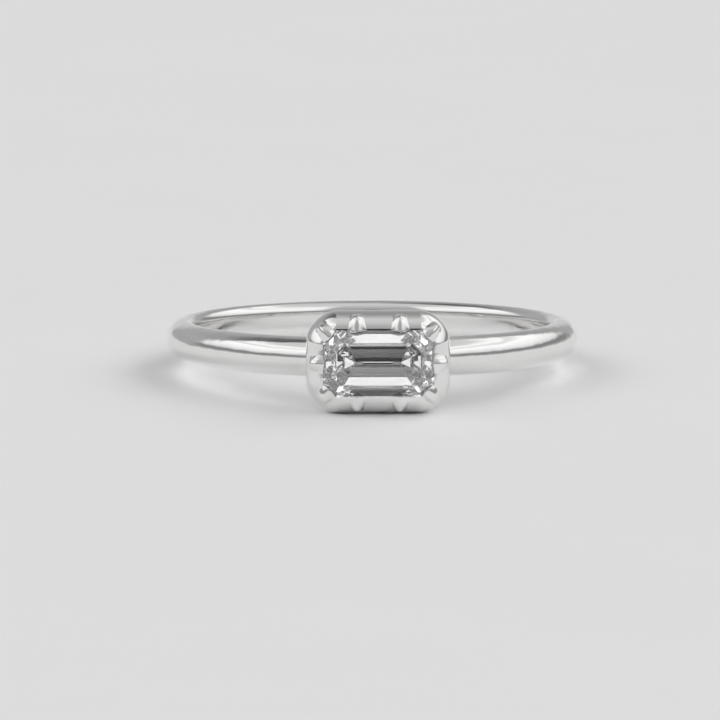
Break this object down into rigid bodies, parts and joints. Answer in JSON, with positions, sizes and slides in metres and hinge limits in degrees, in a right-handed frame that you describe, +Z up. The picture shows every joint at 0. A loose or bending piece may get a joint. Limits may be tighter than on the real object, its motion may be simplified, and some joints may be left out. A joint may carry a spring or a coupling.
{
  "type": "diamond ring",
  "caption": "Finger ring with a step-cut stone set crosswise in a cut-down collet with rounded claws, on a plain half-round band, lying on its side.",
  "frame": {"origin": "on the surface that the ring lies on, below the middle of its length and width", "axes": "+Z up from that surface; the stone faces -Y; +X to the right as seen from in front of the stone"},
  "size_m": [0.02, 0.0226, 0.0049],
  "materials": {
    "white_metal": "polished white precious metal with faint hand-finishing marks",
    "diamond": "colourless, polished flat facets"
  },
  "bodies": {
    "root": {"ring_mount": "white_metal", "diamond": "diamond"}
  },
  "joints": []
}
